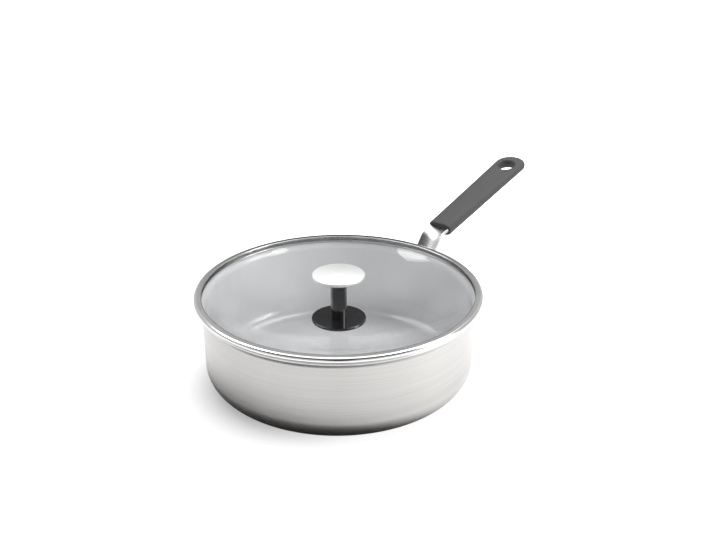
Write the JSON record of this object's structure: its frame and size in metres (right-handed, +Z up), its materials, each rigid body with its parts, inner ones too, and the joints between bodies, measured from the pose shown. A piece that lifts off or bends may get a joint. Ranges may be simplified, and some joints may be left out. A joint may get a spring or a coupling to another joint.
{
  "type": "saute pan",
  "caption": "Steel saute pan with a round bottom corner and flared lip, a dished glass lid with a rolled rim and a disc knob, and a long soft-grip handle on a pressed steel arm.",
  "frame": {"origin": "centre of the pan's flat base, on the surface it rests on", "axes": "+Z up along the pan's axis, +X out along the handle, +Y completes a right-handed frame"},
  "size_m": [0.4345, 0.258, 0.1345],
  "materials": {
    "outer_steel": "satin, brushed round the wall",
    "core_aluminium": "rolled",
    "inner_steel": "satin",
    "lining": "smooth non-stick coating, semi-gloss",
    "arm_steel": "polished",
    "grip_core": "moulded nylon",
    "grip_skin": "matte soft-touch",
    "fastener_steel": "plain",
    "glass": "clear tempered",
    "band_steel": "polished",
    "gasket": "silicone, matte",
    "knob_black": "gloss phenolic",
    "cap_steel": "polished",
    "insert_brass": "plain"
  },
  "bodies": {
    "pan": {"outer_shell": "outer_steel", "aluminium_core": "core_aluminium", "inner_shell": "inner_steel", "ceramic_lining": "lining", "handle_bracket": "arm_steel", "tang_nut": "fastener_steel", "grip_core": "grip_core", "grip_skin": "grip_skin", "grip_screw": "fastener_steel"},
    "lid": {"lid_glass": "glass", "lid_band": "band_steel", "upper_gasket": "gasket", "knob_base": "knob_black", "knob_stem": "knob_black", "knob_insert": "insert_brass", "knob_cap": "cap_steel", "lower_gasket": "gasket", "screw_washer": "fastener_steel", "knob_screw": "fastener_steel"}
  },
  "joints": [
    {"name": "lid_lift", "type": "slide", "parent": "pan", "child": "lid", "axis": [0, 0, 1], "range_m": [0, 0.15]}
  ]
}
